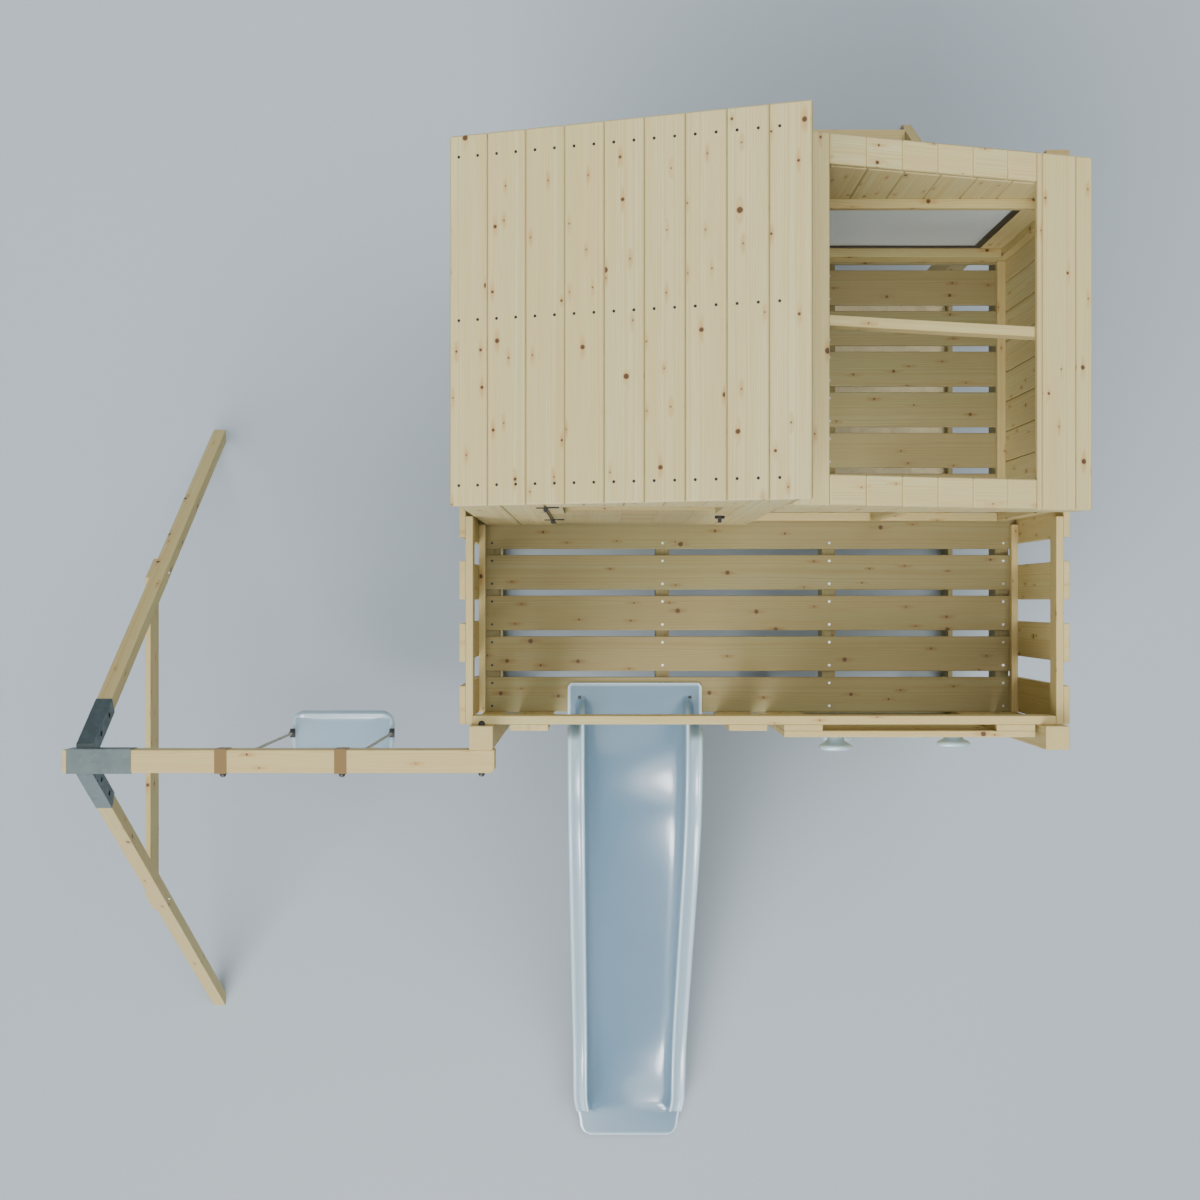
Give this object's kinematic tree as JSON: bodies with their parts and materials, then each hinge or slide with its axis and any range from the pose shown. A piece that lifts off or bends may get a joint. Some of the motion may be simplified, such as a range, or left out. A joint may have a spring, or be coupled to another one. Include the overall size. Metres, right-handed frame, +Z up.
{
  "type": "wooden play tower",
  "caption": "Raised wooden playhouse with a veranda, plastic slide, climbing wall, rear ladder and a swing on a braced side beam.",
  "frame": {"origin": "middle of the footprint, on the ground", "axes": "+Z up, +Y from the slide's end to the rear ladder, +X from the swing to the climbing wall's side"},
  "size_m": [2.9805, 4.0592, 2.6299],
  "materials": {
    "spruce": "planed, bare",
    "tongued_spruce": "planed, tongued and grooved",
    "deck_spruce": "planed, bare, a little darker",
    "black_screw": "blackened",
    "blue_white_plastic": "glossy, moulded",
    "black_iron": "powder coated",
    "black_plastic": "moulded",
    "zinc": "zinc plated",
    "galvanised_steel": "galvanised sheet",
    "brown_strap": "woven webbing",
    "rope": "laid polypropylene",
    "frosted_pane": "frosted"
  },
  "bodies": {
    "tower": {"posts": "spruce", "deck_joists": "deck_spruce", "deck_bearers": "deck_spruce", "deck_rim": "deck_spruce", "deck_boards": "deck_spruce", "deck_screws": "black_screw", "joist_screws": "zinc", "base_boards": "deck_spruce", "sandpit_boards": "deck_spruce", "side_top_rails": "spruce", "side_low_rails": "spruce", "front_rail": "spruce", "side_railing_boards": "spruce", "front_railing_boards": "spruce", "railing_screws": "black_screw", "wall_left": "tongued_spruce", "wall_right": "tongued_spruce", "wall_back": "tongued_spruce", "wall_front": "tongued_spruce", "front_gable": "tongued_spruce", "wall_battens": "spruce", "front_frame": "spruce", "door_post": "spruce", "window_pane": "frosted_pane", "window_trim": "black_plastic", "roof_left": "tongued_spruce", "roof_right": "tongued_spruce", "roof_rafters": "spruce", "rafter_struts": "spruce", "clerestory": "tongued_spruce", "roof_screws": "black_screw", "hinge_rod": "black_iron", "slide": "blue_white_plastic", "slide_screws": "black_screw", "climbing_boards": "spruce", "climbing_battens": "spruce", "climbing_holds": "blue_white_plastic", "hold_bolts": "zinc", "swing_beam": "spruce", "beam_bolt": "zinc", "bolt_caps": "black_plastic", "a_frame_legs": "spruce", "cross_board": "spruce", "a_frame_bracket": "galvanised_steel", "bracket_bolts": "zinc", "hanger_straps": "brown_strap", "hanger_lugs": "zinc", "ladder_sides": "spruce", "ladder_treads": "spruce"},
    "swing": {"swing_shackles": "zinc", "swing_ropes": "rope", "seat_clips": "black_plastic", "swing_seat": "blue_white_plastic"},
    "door": {"door_boards": "tongued_spruce", "door_frame": "spruce", "door_straps": "black_iron"},
    "latch": {"latch_knob": "black_iron", "latch_tongue": "black_iron"}
  },
  "joints": [
    {"name": "swing_hinge", "type": "hinge", "parent": "tower", "child": "swing", "pos_m": [-0.849, -0.3736, 1.743], "axis": [1, 0, 0], "range_deg": [-45, 45]},
    {"name": "door_hinge", "type": "hinge", "parent": "tower", "child": "door", "pos_m": [-0.056, 0.3524, 1.7], "axis": [0, 0, -1], "range_deg": [0, 100]},
    {"name": "latch_turn", "type": "hinge", "parent": "door", "child": "latch", "pos_m": [0.444, 0.3804, 1.8], "axis": [0, 1, 0], "range_deg": [0, 90]}
  ]
}
